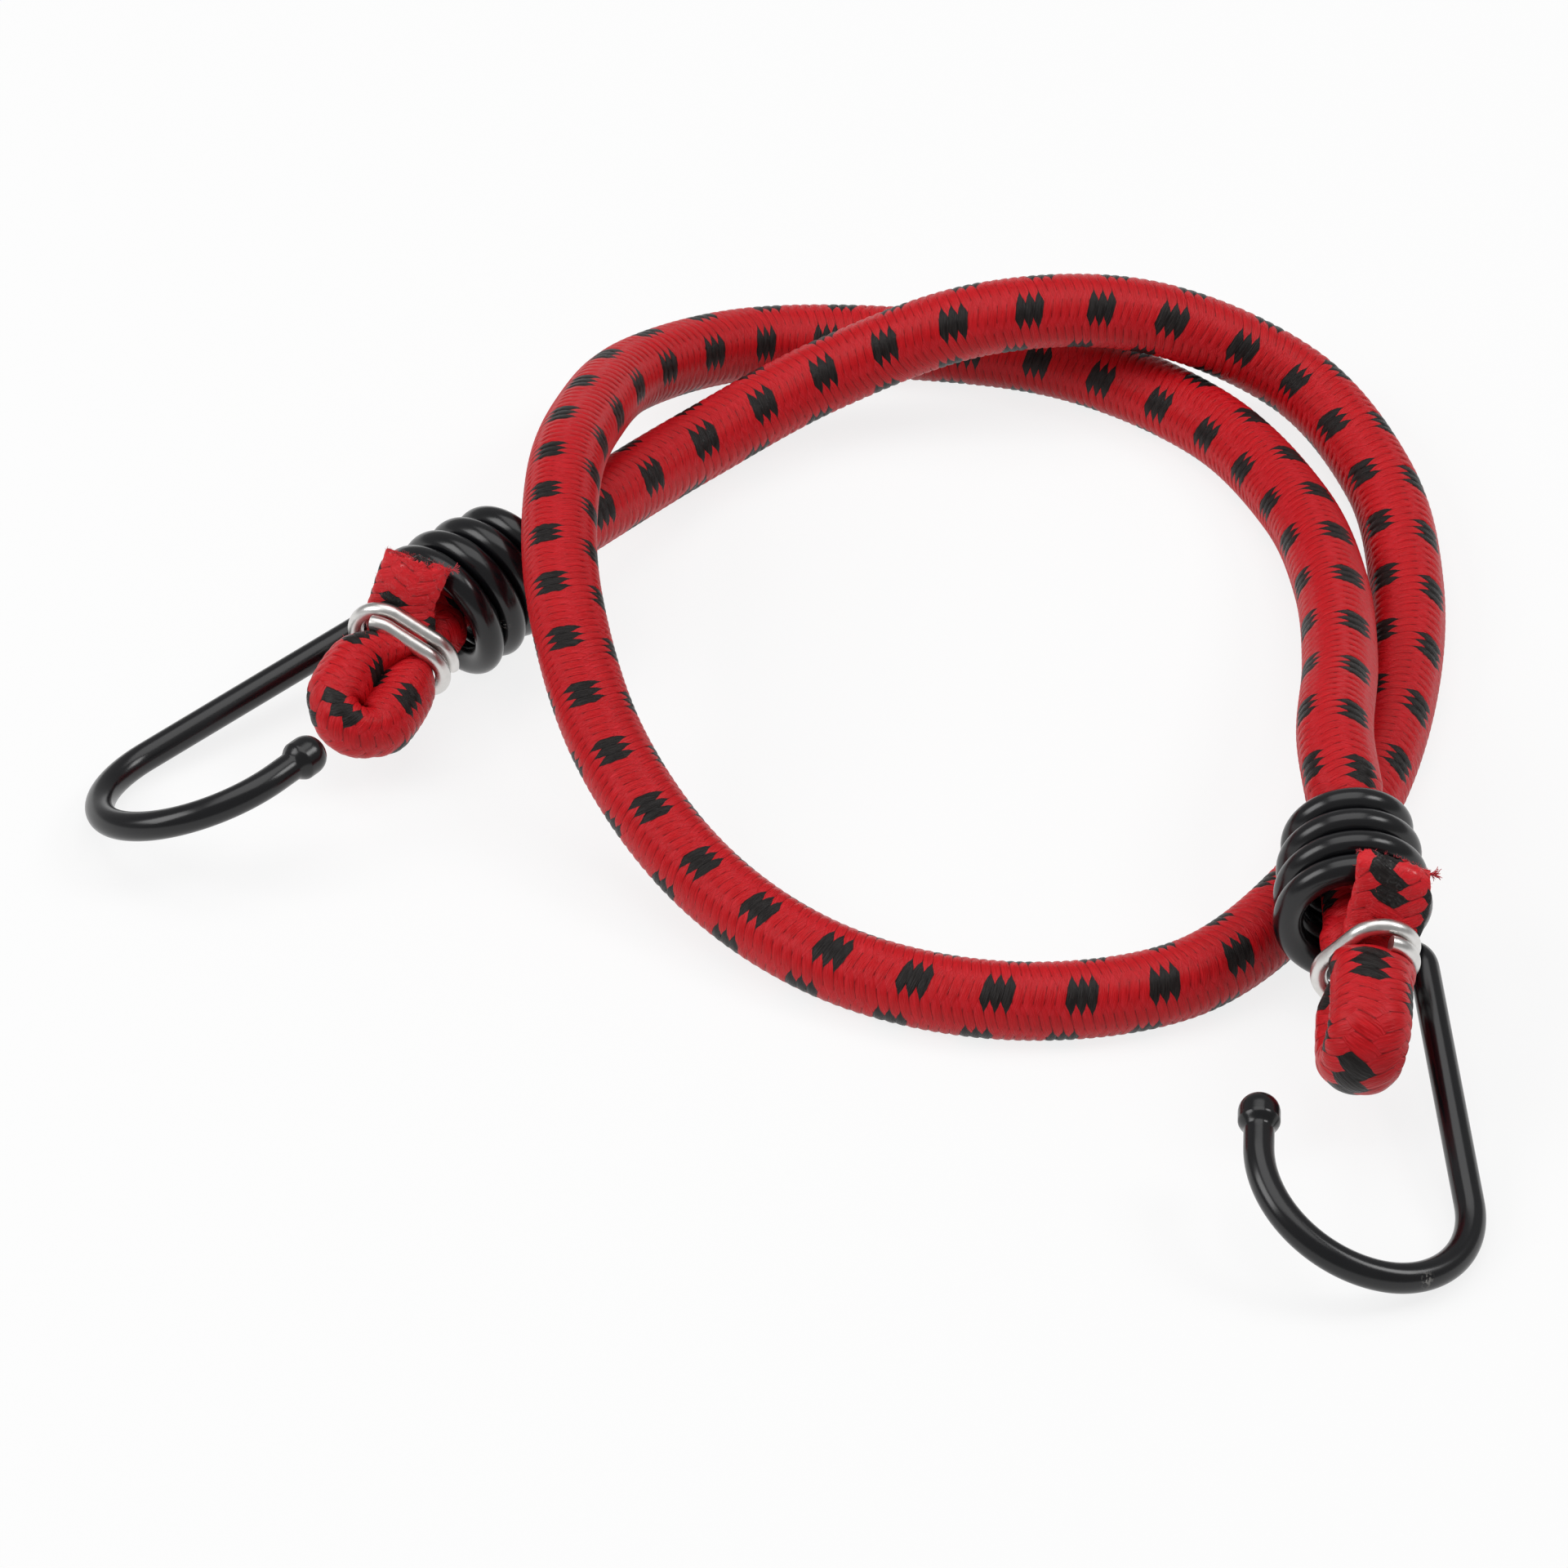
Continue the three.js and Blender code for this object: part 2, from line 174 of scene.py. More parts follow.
# Route of the cord from coil to coil: x, y and its lift above where it lies, in cord diameters
route = (
    (-0.0185, 0.0400, 0.6),
    (-0.0080, 0.0545, 0.25),
    (0.0065, 0.0650, 0.5),
    (0.0235, 0.0670, 1.25),
    (0.0415, 0.0685, 1.15),
    (0.0580, 0.0660, 0.3),
    (0.0665, 0.0510, 0),
    (0.0685, 0.0325, 0),
    (0.0670, 0.0145, 0),
    (0.0625, -0.0035, 0),
    (0.0550, -0.0200, 0),
    (0.0425, -0.0335, 0),
    (0.0250, -0.0370, 0),
    (0.0075, -0.0315, 0),
    (-0.0065, -0.0200, 0.25),
    (-0.0165, -0.0060, 1),
    (-0.0215, 0.0105, 1.85),
    (-0.0220, 0.0285, 2.05),
    (-0.0195, 0.0465, 1.5),
    (-0.0145, 0.0625, 0.75),
    (-0.0020, 0.0750, 0.1),
    (0.0160, 0.0760, 0),
    (0.0335, 0.0720, 0),
    (0.0485, 0.0610, 0),
    (0.0570, 0.0450, 0.1),
    (0.0600, 0.0275, 0.45),
    (0.0600, 0.0095, 0.9),
    (0.0585, -0.0085, 1.4),
)

# Route points where the sheath's three pieces meet
seam_points = (7, 19)

# Braid: yarns each way round the cord, how many of one way are black, the middle of the first column of
# floats, in columns, the relief, its share inside the cord's width, the share of it that comes from yarns
# rising over others, and how much straighter than the yarns the floats run
yarns_each_way = 8
black_yarns = 3
first_column = 0.75
braid_relief = 0.00022
relief_inside = 0.75
rise_share = 0.45
float_straightness = 0.35

# Turns of a yarn around the cord, at distances along it from the route's first point
turns_along = (
    (-0.0720, 0.35),
    (-0.0650, 1.15),
    (-0.0605, 1.80),
    (-0.0545, 2.40),
    (-0.0465, 3.20),
    (-0.0425, 3.85),
    (-0.0255, 5.85),
    (-0.0130, 7.00),
    (-0.0010, 8.15),
    (0.0095, 9.25),
    (0.0195, 10.10),
    (0.0435, 12.80),
    (0.0755, 16.95),
    (0.0985, 19.55),
    (0.1085, 20.65),
    (0.1575, 25.65),
    (0.1965, 30.10),
    (0.2285, 34.10),
    (0.2480, 36.20),
    (0.2655, 38.20),
    (0.2805, 40.25),
    (0.2940, 42.35),
    (0.3085, 44.65),
    (0.3165, 45.75),
    (0.3360, 47.70),
    (0.3445, 48.50),
    (0.3610, 50.25),
    (0.4065, 55.70),
    (0.4290, 58.40),
    (0.4450, 60.40),
    (0.4655, 62.40),
    (0.4880, 64.40),
    (0.4970, 65.40),
    (0.5240, 68.45),
    (0.5425, 69.60),
    (0.5505, 70.60),
    (0.5655, 71.60),
    (0.5680, 71.80),
)

# Turn of the whole braid around the cord, in degrees, at distances along it from the route's first point
twist_along = (
    (-0.0720, 46),
    (-0.0650, 43),
    (-0.0550, 64),
    (-0.0430, 88),
    (-0.0300, 62),
    (0.0050, 69),
    (0.0200, 79),
    (0.0700, 78),
    (0.0840, 69),
    (0.1000, 63),
    (0.1950, 61),
    (0.2100, 62),
    (0.2300, 50),
    (0.2470, 38),
    (0.2600, 40),
    (0.2750, 47),
    (0.2900, 55),
    (0.3100, 57),
    (0.3250, 51),
    (0.4450, 39),
    (0.4660, 37),
    (0.4870, 48),
    (0.5000, 45),
    (0.5520, 38),
    (0.5680, 16),
)

# How far along the cord these two are smoothed
turns_smoothing = 0.004
twist_smoothing = 0.006

# Cut ends of the sheath: wall, how deep its inside is seen, how ragged the cut is, how far that reaches and
# how finely it is torn, and how far the wear reaches
sheath_wall = 0.0003
cut_depth = 0.002
cut_raggedness = 0.0022
ragged_reach = 0.0007
ragged_scale = 4.0
worn_reach = 0.007

# Loose fibres at the cut's rim: their number, and how much their lean strays
rim_fibres = 180
rim_straying = 0.35

# Fuzz on the tail: its fibres, how far from the cut they lie, and how much they stray and are pressed inward
fuzz_fibres = 300
fuzz_reach = 0.016
fuzz_straying = 0.5
fuzz_press = 0.1

# Tuft: how much its fibres' lean strays and turns out of the cut, and how far round the rim their roots stray
tuft_straying = 0.2
tuft_outside = 0.2
tuft_corner = 0.08

# All loose fibres: least and greatest length, thickness as a share of it, how high in the relief they are
# rooted, and the seeds of their chance
short_fibre = (0.0002, 0.0005)
tuft_fibre = (0.0006, 0.0014)
fibre_thickness = 0.035
fibre_root = 0.5
fibre_seed = 11
fibre_turn_seed = 3

# Fineness, and the side that the frames along every line start from
row_step = 0.000165
steps_between_points = 120
sheath_sides = 72
wire_sides = 40
coil_steps_per_turn = 64
bend_steps = 36
clamp_steps_per_turn = 96
bight_steps = 5
rows_per_path_point = 30
weld_distance = 2e-7
hook_sharp_angle = 60
clamp_sharp_angle = 40
first_side = (0.3, 0.2, 1.0)

# Colours: red, green, blue and alpha
red_shade = (0.36, 0.003, 0.006, 1)
red_light = (0.68, 0.012, 0.018, 1)
red_even = (0.56, 0.005, 0.010, 1)
# Painted sheen where the yarns dive at their ends
red_painted_sheen = (0.70, 0.045, 0.065, 1)
# Lighter red near the cut ends
red_near_cuts = (0.82, 0.025, 0.035, 1)
# Painted shade in the seams and dips between the red yarns
red_gap_shade = (0.07, 0.0, 0.001, 1)
black_shade = (0.006, 0.004, 0.004, 1)
black_light = (0.022, 0.019, 0.018, 1)
# Painted shade in the seams and dips between the black yarns
black_gap_shade = (0.002, 0.002, 0.002, 1)
fibre_shade = (0.45, 0.010, 0.020, 1)
fibre_light = (0.74, 0.060, 0.085, 1)
coating_shade = (0.003, 0.003, 0.004, 1)
coating_light = (0.006, 0.006, 0.0075, 1)
scuff_colour = (0.30, 0.29, 0.27, 1)
zinc_shade = (0.58, 0.565, 0.545, 1)
zinc_light = (0.88, 0.87, 0.85, 1)
steel_shade = (0.34, 0.34, 0.35, 1)
steel_light = (0.55, 0.55, 0.56, 1)
paper_colour = (0.90, 0.90, 0.90, 1)
plain_white = (1, 1, 1, 1)

# Looks of the braid: contrast of its strands, where painted shade darkens its seams and dips and how much,
# where its worn ends are fused, how much painted sheen lightens the yarns' ends, and how much lighter its red
# is near the cuts
strand_contrast = (0.32, 0.68)
seam_start = 0.86
seam_painted_shade = 0.5
dip_heights = (0.1, 0.42)
dip_painted_shade = 0.75
fused_above = (0.50, 0.62)
fused_coat = 0.5
painted_sheen_share = 0.3
near_cut_lightening = 0.5

# Fineness of the noise in the looks
curl_scale = 1500.0
fibre_patch_scale = 500.0
coating_wave_scale = 220.0
scuff_grain_scale = 2600.0
zinc_patch_scale = 700.0
zinc_scratch_scale = 4000.0
steel_line_scale = 3000.0

# Depth and strength of the bumps in the looks
braid_bump = (0.00016, 0.9)
coating_bump = (0.0001, 0.12)
zinc_bump = (0.00006, 0.5)

# Floor: half its width, its height, and how white it looks in place of its shade
floor_half = 3.0
floor_height = -0.0001
floor_whiteness = 0.82

# Light of the plain world, and how much brighter the camera sees it
world_light = 0.3
world_seen = 0.7

# Softboxes that look at the origin: name, place, size and power
softboxes = (
    ("overhead", (0.00, 0.15, 1.10), 1.0, 5.0),
    ("left", (-0.85, -0.15, 0.70), 0.6, 4.5),
    ("right", (0.80, 0.05, 0.85), 0.4, 3.0),
)

# Values that follow from the ones above
cord_radius = cord_diameter / 2
lie_height = cord_radius - lying_flat * cord_diameter
coil_narrow = squeeze_in_coil * cord_radius + coil_fit + coated_wire / 2
coil_mouth = coil_narrow + coil_flare
coil_length = (coated_wire + turn_gap) * coil_turns
clamp_half = squeeze_in_clamp * cord_radius + strand_gap / 2


def add_aimed(name, data, place, aim):
    """A camera or lamp at one place that looks at another."""
    holder = bpy.data.objects.new(name, data)
    bpy.context.scene.collection.objects.link(holder)
    holder.location = place
    toward = np.subtract(aim, place)
    tilt = math.atan2(math.hypot(toward[0], toward[1]), -toward[2])
    pan = math.atan2(-toward[0], toward[1])
    holder.rotation_euler = (tilt, 0, pan)
    return holder


def add_camera():
    """The camera that took the photo."""
    lens = bpy.data.cameras.new("photo_camera")
    lens.lens = camera_lens
    lens.sensor_width = camera_sensor
    lens.clip_end = camera_reach
    bpy.context.scene.camera = add_aimed("photo_camera", lens, camera_place, camera_aim)


def unit(vector):
    """A vector of length one in the same direction."""
    vector = np.asarray(vector, float)
    return vector / np.linalg.norm(vector)


def hook_frame(end):
    """Place and axes of one hook: its third axis runs along the coil to the mouth, its first to the shank."""
    heading, dip, roll = (math.radians(end[key]) for key in ("heading", "dip", "roll"))
    axis = np.array([math.cos(dip) * math.cos(heading), math.cos(dip) * math.sin(heading), -math.sin(dip)])
    sideways = unit(np.cross([0, 0, 1], axis))
    upward = np.cross(axis, sideways)
    to_shank = sideways * math.cos(roll) + upward * math.sin(roll)
    axes = np.array([to_shank, np.cross(axis, to_shank), axis])
    place = np.array([*end["narrow_end"], end["height"] * cord_diameter])
    return place, axes


def placed(end, points):
    """Points of one hook's frame, in the frame of the whole part."""
    place, axes = hook_frame(end)
    return place + np.asarray(points) @ axes


def fold_directions(end):
    """Along the fold, and from its standing strand to its tail, in the hook's frame."""
    swing, toward, turn = (math.radians(end[key]) for key in ("fold_swing", "fold_toward", "tail_turn"))
    aside = math.sin(swing)
    along = np.array([aside * math.cos(toward), aside * math.sin(toward), math.cos(swing)])
    to_tail = np.array([math.cos(turn), math.sin(turn), 0])
    return along, unit(to_tail - along * np.dot(to_tail, along))


def end_points(end):
    """One cord end from its cut to past its coil: places, the way it is wide, thicknesses and spreads."""
    along, to_tail = fold_directions(end)
    face = np.cross(along, to_tail)
    start = np.array([0, 0, coil_length]) + end["fold_shift"] * to_tail
    axes = hook_frame(end)[1]
    points = []

    def turned(angle):
        return to_tail * math.cos(math.radians(angle)) + face * math.sin(math.radians(angle))

    def on_fold(distance, lift, turn, looks_to, section):
        place = placed(end, start + distance * along + lift * turned(turn))
        points.append((place, np.cross(along, turned(looks_to)) @ axes, *section))

    for point in end["tail"]:
        on_fold(*point, tail_section)
    on_fold(*end["tail_root"], tail_root_section)
    on_fold(clamp_distance, *end["tail_in_clamp"], clamped_tail_section)
    half = end["bight_half"]
    twist = end["bight_twist"]
    section = end["bight_section"]
    on_fold(clamp_distance + fold_shoulder, half, twist, twist, section)
    for step in range(bight_steps + 1):
        angle = math.pi * step / bight_steps
        around = end["bight_reach"] + half * math.sin(angle)
        here = end["nose_section"] if 0 < step < bight_steps else section
        on_fold(around, half * math.cos(angle), twist, twist, here)
    on_fold(clamp_distance + fold_shoulder, -half, twist, twist, section)
    lift, turn, looks_to = end["cord_in_clamp"]
    on_fold(clamp_distance, -lift, turn, looks_to, clamped_cord_section)
    on_fold(clamp_distance - fold_shoulder, -standing_near_clamp, 0, 0, mouth_section)
    for height in (coil_length, coil_length / 2, 0, -squeeze_past_coil):
        points.append((placed(end, (0, 0, height)), np.zeros(3), squeeze_in_coil, 0))
    return points


def smooth_line(points):
    """A centripetal line through points, sampled finely, with each sample's place between the points."""
    points = np.asarray(points, float)
    before = 2 * points[0] - points[1]
    after = 2 * points[-1] - points[-2]
    padded = np.vstack([before, points, after])
    share = np.linspace(0, 1, steps_between_points, endpoint=False)[:, None]
    line = []
    for index in range(len(points) - 1):
        p0, p1, p2, p3 = padded[index:index + 4]
        d0, d1, d2 = (math.sqrt(np.linalg.norm(b - a)) for a, b in ((p0, p1), (p1, p2), (p2, p3)))
        leave = d1 * ((p1 - p0) / d0 - (p2 - p0) / (d0 + d1) + (p2 - p1) / d1)
        arrive = d1 * ((p2 - p1) / d1 - (p3 - p1) / (d1 + d2) + (p3 - p2) / d2)
        square = 3 * (p2 - p1) - 2 * leave - arrive
        cube = 2 * (p1 - p2) + leave + arrive
        line.append(p1 + share * (leave + share * (square + share * cube)))
    line.append(points[-1:])
    line = np.vstack(line)
    return line, np.arange(len(line)) / steps_between_points


def distances(points):
    """Distance of each point along a line of points."""
    return np.r_[0, np.cumsum(np.linalg.norm(np.diff(points, axis=0), axis=1))]


def frames_along(points, first=0):
    """Two directions across a line of points, carried both ways from one of them without a twist."""
    along = np.gradient(points, axis=0)
    along /= np.linalg.norm(along, axis=1)[:, None]
    across = np.empty_like(points)
    for way in (range(first, -1, -1), range(first, len(points))):
        side = np.array(first_side)
        for index in way:
            side = unit(side - along[index] * np.dot(side, along[index]))
            across[index] = side
    return across, np.cross(along, across)


def route_place(number):
    """Place of the cord's middle at a point of the route."""
    x, y, lift = route[number]
    return x, y, lie_height + lift * cord_diameter


def nearest_row(points, number):
    """The row of a line of points that is nearest to a point of the route."""
    return int(np.argmin(np.linalg.norm(points[:, :2] - route[number][:2], axis=1)))


def cord_line():
    """The cord in equal steps from cut to cut: distances, places, half-widths, spreads and wide ways."""
    first = end_points(ends[0])
    last = end_points(ends[1])[::-1]
    lying = [(route_place(number), np.zeros(3), 1, 0) for number in range(len(route))]
    points = first + lying + last
    places, wide_ways, thicknesses, spreads = (np.array(values, float) for values in zip(*points))
    line, position = smooth_line(places)
    along = distances(line)
    at = np.linspace(0, along[-1], round(along[-1] / row_step) + 1)
    position = np.interp(at, along, position)
    order = np.arange(len(points))
    full_again = (len(first) - 1 + swell_share, len(first) + len(route) - swell_share)
    knots = np.r_[order, full_again]
    widths = np.r_[thicknesses, 1, 1][np.argsort(knots)]
    return {
        "distance": at,
        "at": np.column_stack([np.interp(at, along, part) for part in line.T]),
        "half_width": cord_radius * np.interp(position, np.sort(knots), widths),
        "spread": np.interp(position, order, spreads),
        "wide_way": np.column_stack([np.interp(position, order, part) for part in wide_ways.T]),
    }


class Socket:
    """One output of a node. Sums, products and comparisons with other sockets or numbers add Math nodes."""

    def __init__(self, tree, output):
        self.tree = tree
        self.output = output

    def maths(self, operation, *others):
        return self.tree.add("ShaderNodeMath", {"operation": operation}, dict(enumerate((self, *others))))

    def __add__(self, other):
        return self.maths("ADD", other)

    def __sub__(self, other):
        return self.maths("SUBTRACT", other)

    def __rsub__(self, other):
        return self.tree.add("ShaderNodeMath", {"operation": "SUBTRACT"}, {0: other, 1: self})

    def __mul__(self, other):
        return self.maths("MULTIPLY", other)

    def __gt__(self, other):
        return self.maths("GREATER_THAN", other)

    def __lt__(self, other):
        return self.maths("LESS_THAN", other)

    __radd__ = __add__
    __rmul__ = __mul__


class Tree:
    """A node tree of a material or of Geometry Nodes."""

    def __init__(self, tree):
        self.tree = tree

    def add(self, kind, settings=None, values=None, output=0):
        """A new node: its settings first, then the values or links of its sockets."""
        node = self.tree.nodes.new(kind)
        for name, setting in (settings or {}).items():
            setattr(node, name, setting)
        for key, value in (values or {}).items():
            if isinstance(value, Socket):
                self.tree.links.new(value.output, node.inputs[key])
            else:
                node.inputs[key].default_value = value
        return Socket(self, node.outputs[output]) if len(node.outputs) else node

    def vector(self, operation, *values, output=0):
        return self.add("ShaderNodeVectorMath", {"operation": operation}, dict(enumerate(values)), output)

    def scaled(self, vector, factor):
        return self.add("ShaderNodeVectorMath", {"operation": "SCALE"}, {0: vector, "Scale": factor})

    def part_of(self, vector, axis):
        return self.add("ShaderNodeSeparateXYZ", {}, {0: vector}, output=axis)

    def joined(self, *parts):
        return self.add("ShaderNodeCombineXYZ", {}, dict(enumerate(parts)))

    def mixed(self, factor, first, second):
        """A colour between two colours."""
        return self.add("ShaderNodeMix", {"data_type": "RGBA"}, {0: factor, 6: first, 7: second}, output=2)

    def noise(self, place, scale, detail=2.0, distortion=0.0):
        """Smooth noise around a half."""
        values = {"Vector": place, "Scale": scale, "Detail": detail, "Distortion": distortion}
        return self.add("ShaderNodeTexNoise", {}, values)

    def ranged(self, value, start, end, at_start, at_end, way="SMOOTHSTEP"):
        """A number that goes from one value to another while the given value goes from start to end."""
        values = {"Value": value, "From Min": start, "From Max": end, "To Min": at_start, "To Max": at_end}
        return self.add("ShaderNodeMapRange", {"interpolation_type": way}, values)

    def bumped(self, height, distance, strength):
        """A surface's normal that follows a height."""
        return self.add("ShaderNodeBump", {}, {"Height": height, "Distance": distance, "Strength": strength})

    def stored(self, geometry, name, kind, domain, value):
        """Geometry that carries a named value."""
        values = {"Geometry": geometry, "Name": name, "Value": value}
        return self.add("GeometryNodeStoreNamedAttribute", {"data_type": kind, "domain": domain}, values)

    def named(self, name, kind):
        """A named value that the geometry carries."""
        return self.add("GeometryNodeInputNamedAttribute", {"data_type": kind}, {"Name": name})


def weave(around, along):
    """The braid at a place: around the cord and along it, both in turns of a yarn."""
    column = 1 / yarns_each_way
    from_middle = (around - first_column * column + column / 2).maths("PINGPONG", column) - column / 2
    along = along - from_middle * float_straightness
    right = (around + along) * yarns_each_way
    left = (around - along) * yarns_each_way
    right_yarn = right.maths("FLOOR")
    left_yarn = left.maths("FLOOR")

    def rise(yarn, other, phase):
        return ((other + yarn - phase) * (math.pi / 2)).maths("COSINE")

    def height(across, rise):
        off_middle = across * 2 - 1
        off_square = off_middle * off_middle
        return rise * rise_share + (1 - off_square * off_square) * (1 - rise_share)

    right_rise = rise(right_yarn, left, 1)
    left_rise = rise(left_yarn, right, 3)
    right_height = height(right - right_yarn, right_rise)
    left_height = height(left - left_yarn, left_rise)
    on_top = right_height > left_height

    def of_top(of_left, of_right):
        return of_left + on_top * (of_right - of_left)

    return {
        "height": right_height.maths("MAXIMUM", left_height),
        "right_on_top": on_top,
        "right_yarn": right_yarn,
        "across_yarn": of_top(left - left_yarn, right - right_yarn),
        "along_yarn": of_top(right, left),
        "yarn": of_top(left_yarn, right_yarn),
        "rise": of_top(left_rise, right_rise),
    }


def new_group(name, given, made):
    """A Geometry Nodes group: its tree, the sockets of what it is given, and the keys of its settings."""
    group = bpy.data.node_groups.new(name, "GeometryNodeTree")
    keys = [
        group.interface.new_socket(label, in_out="INPUT", socket_type=f"NodeSocket{kind}").identifier
        for label, kind in given
    ]
    group.interface.new_socket(made, in_out="OUTPUT", socket_type="NodeSocketGeometry")
    tree = Tree(group)
    outputs = group.nodes.new("NodeGroupInput").outputs
    return tree, [Socket(tree, output) for output in outputs[:len(given)]], keys[1:]


def end_group(tree, geometry, finish):
    """The last nodes of a group: plain geometry with its material."""
    whole = tree.add("GeometryNodeRealizeInstances", {}, {"Geometry": geometry})
    finished = tree.add("GeometryNodeSetMaterial", {}, {"Geometry": whole, "Material": finish})
    tree.add("NodeGroupOutput", {}, {0: finished})


def tube_tree():
    """Geometry Nodes that lay a skin around a line of rows, with the braid's relief where rows ask for it."""
    given = (("Rows", "Geometry"), ("Sides", "Int"), ("Braid relief", "Float"), ("Finish", "Material"))
    tree, (rows, sides, relief, finish), keys = new_group("skin_around_rows", given, "Skin")

    count = tree.add("GeometryNodeAttributeDomainSize", {"component": "MESH"}, {0: rows})
    grid = {"Size X": 1, "Size Y": 1, "Vertices X": count, "Vertices Y": sides + 1}
    flat = tree.add("GeometryNodeMeshGrid", {}, grid)
    position = tree.add("GeometryNodeInputPosition")
    row = ((tree.part_of(position, "X") + 0.5) * (count - 1)).maths("ROUND")
    turn = tree.part_of(position, "Y") + 0.5

    def from_row(name, kind):
        values = {0: rows, 1: tree.named(name, kind), 2: row}
        return tree.add("GeometryNodeSampleIndex", {"data_type": kind}, values)

    middle, across, up, wide_way = (
        from_row(name, "FLOAT_VECTOR") for name in ("at", "across", "up", "wide_way")
    )
    half_width, spread, twist, lay, braided, ragged, worn = (
        from_row(name, "FLOAT")
        for name in ("half_width", "spread", "twist", "lay", "braided", "ragged", "worn")
    )
    around = turn + twist
    angle = turn * (2 * math.pi)
    outward = tree.vector(
        "ADD",
        tree.scaled(across, angle.maths("COSINE")),
        tree.scaled(up, angle.maths("SINE")),
    )
    widened = tree.vector("DOT_PRODUCT", outward, wide_way, output="Value") * spread
    section = tree.vector("ADD", outward, tree.scaled(wide_way, widened))
    height = weave(around, lay)["height"] * braided * relief
    skin = tree.vector("ADD", middle, tree.scaled(section, half_width))
    skin = tree.vector("ADD", skin, tree.scaled(outward, height))
    tears = tree.noise(tree.vector("ADD", outward, middle), ragged_scale)
    forward = tree.vector("CROSS_PRODUCT", across, up)
    skin = tree.vector("ADD", skin, tree.scaled(forward, (tears - 0.5) * ragged))
    # The floor holds up what would sink into it
    skin = tree.vector("MAXIMUM", skin, (-1, -1, 0))

    with_pattern = tree.stored(flat, "braid", "FLOAT2", "CORNER", tree.joined(around, lay))
    with_wear = tree.stored(with_pattern, "worn", "FLOAT", "POINT", worn)
    shaped = tree.add("GeometryNodeSetPosition", {}, {"Geometry": with_wear, "Position": skin})
    closed = tree.add("GeometryNodeMergeByDistance", {}, {"Geometry": shaped, "Distance": weld_distance})
    smooth = tree.add("GeometryNodeSetShadeSmooth", {}, {"Geometry": closed})
    end_group(tree, smooth, finish)
    return tree.tree, keys


def rows_of(points, half_width, first=0, **extra):
    """Rows for a tube along points. What extra doesn't give is plain."""
    across, up = frames_along(points, first)
    plain = dict.fromkeys(("spread", "twist", "lay", "braided", "ragged", "worn"), 0.0)
    rows = {"at": points, "across": across, "up": up, "wide_way": np.zeros_like(points)}
    for name, value in {**plain, "half_width": half_width, **extra}.items():
        shape = points.shape if name in rows else len(points)
        rows[name] = np.broadcast_to(value, shape).astype(float)
    return rows


def chosen_rows(rows, chosen):
    """Some of the rows, in the order of a list of their numbers."""
    return {name: values[chosen] for name, values in rows.items()}


def fibre_tree():
    """Geometry Nodes that put a bent fibre on every point, leaning and as long as the point says."""
    given = (("Points", "Geometry"), ("Thickness", "Float"), ("Finish", "Material"))
    tree, (points, thickness, finish), keys = new_group("fibres_on_points", given, "Fibres")
    bend = {"Resolution": 5, "Start": (0, 0, 0), "Middle": (0, 0, 0.6), "End": (0.45, 0.1, 0.9)}
    middle_line = tree.add("GeometryNodeCurveQuadraticBezier", {}, bend)
    outline = tree.add("GeometryNodeCurvePrimitiveCircle", {}, {"Resolution": 4, "Radius": thickness})
    tube = {"Curve": middle_line, "Profile Curve": outline, "Fill Caps": True}
    fibre = tree.add("GeometryNodeCurveToMesh", {}, tube)
    any_turn = tree.add(
        "FunctionNodeRandomValue",
        {"data_type": "FLOAT_VECTOR"},
        {"Min": (0, 0, 0), "Max": (0, 0, 2 * math.pi), "Seed": fibre_turn_seed},
    )
    turned = tree.add("FunctionNodeEulerToRotation", {}, {0: any_turn})
    lean = {"Rotation": turned, "Vector": tree.named("lean", "FLOAT_VECTOR")}
    leaning = tree.add("FunctionNodeAlignRotationToVector", {"axis": "Z"}, lean)
    size = tree.named("size", "FLOAT")
    each = {"Points": points, "Instance": fibre, "Rotation": leaning, "Scale": size}
    end_group(tree, tree.add("GeometryNodeInstanceOnPoints", {}, each), finish)
    return tree.tree, keys


def grow(name, nodes, points, attributes, settings):
    """A finished mesh that Geometry Nodes make from points and their attributes."""
    group, keys = nodes
    mesh = bpy.data.meshes.new(name)
    mesh.from_pydata(points.tolist(), [], [])
    for key, values in attributes.items():
        if values.ndim == 2:
            attribute = mesh.attributes.new(key, "FLOAT_VECTOR", "POINT")
            attribute.data.foreach_set("vector", values.ravel())
        else:
            attribute = mesh.attributes.new(key, "FLOAT", "POINT")
            attribute.data.foreach_set("value", values)
    piece = bpy.data.objects.new(name, mesh)
    bpy.context.scene.collection.objects.link(piece)
    modifier = piece.modifiers.new("grow", "NODES")
    modifier.node_group = group
    for key, setting in zip(keys, settings):
        modifier[key] = setting
    view = bpy.context.evaluated_depsgraph_get()
    finished = bpy.data.meshes.new_from_object(piece.evaluated_get(view), depsgraph=view)
    piece.modifiers.clear()
    piece.data = finished
    bpy.data.meshes.remove(mesh)
    finished.name = name
    return piece


def add_skin(name, rows, sides, relief, finish, sharp_angle=None):
    """A finished mesh around rows, smooth but for edges over its sharp angle."""
    piece = grow(name, skin_nodes, rows["at"], rows, (sides, relief, finish))
    if sharp_angle:
        piece.data.set_sharp_from_angle(angle=math.radians(sharp_angle))
    return piece


def new_material(name):
    """An empty material: its tree, and a function that ends it in a Principled surface."""
    material = bpy.data.materials.new(name)
    material.use_nodes = True
    material.node_tree.nodes.clear()
    tree = Tree(material.node_tree)

    def surface(**values):
        named = {key.replace("_", " ").title().replace("Ior", "IOR"): value for key, value in values.items()}
        shader = tree.add("ShaderNodeBsdfPrincipled", {}, named)
        tree.add("ShaderNodeOutputMaterial", {}, {"Surface": shader})

    return material, tree, surface


